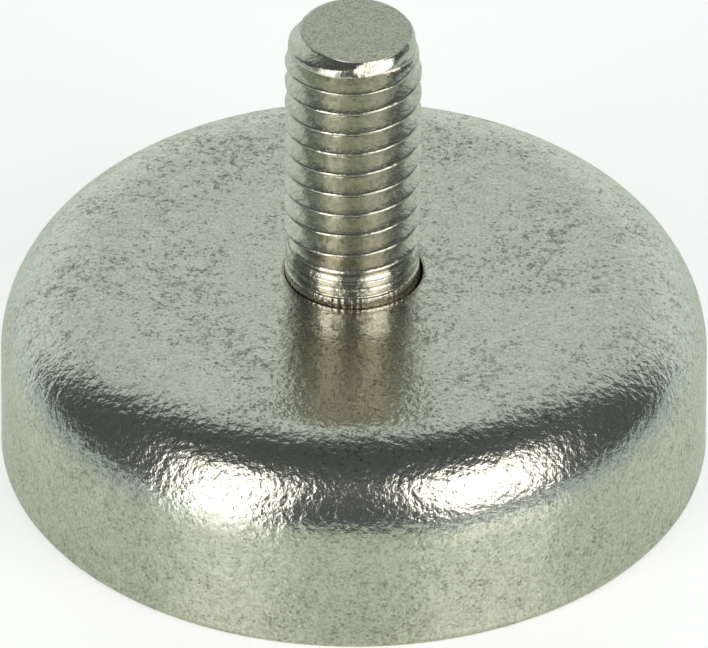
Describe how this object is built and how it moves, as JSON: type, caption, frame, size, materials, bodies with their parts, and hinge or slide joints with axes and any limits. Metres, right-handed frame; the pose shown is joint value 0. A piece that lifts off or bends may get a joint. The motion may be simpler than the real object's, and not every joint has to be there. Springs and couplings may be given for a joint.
{
  "type": "pot magnet",
  "caption": "Round nickel-plated steel pot magnet with a rounded shoulder, an open pole face and a short threaded stud on its axis.",
  "frame": {"origin": "centre of the circle on which the pot's open rim stands, on the stud's axis", "axes": "+Z along the stud, away from the pole face; +X and +Y are free, since the part is round apart from the start of its thread"},
  "size_m": [0.02, 0.02, 0.0142],
  "materials": {
    "nickel_plated_pot": "bright nickel on steel, fine pits and speckle",
    "nickel_plated_stud": "bright nickel on rolled thread",
    "magnet_plating": "satin nickel on sintered neodymium",
    "clear_adhesive": "cured adhesive",
    "black_resin": "cured resin, semi-matt"
  },
  "bodies": {
    "root": {"pot_shell": "nickel_plated_pot", "threaded_stud": "nickel_plated_stud", "magnet_disc": "magnet_plating", "adhesive_film": "clear_adhesive", "potting_ring": "black_resin"}
  },
  "joints": []
}
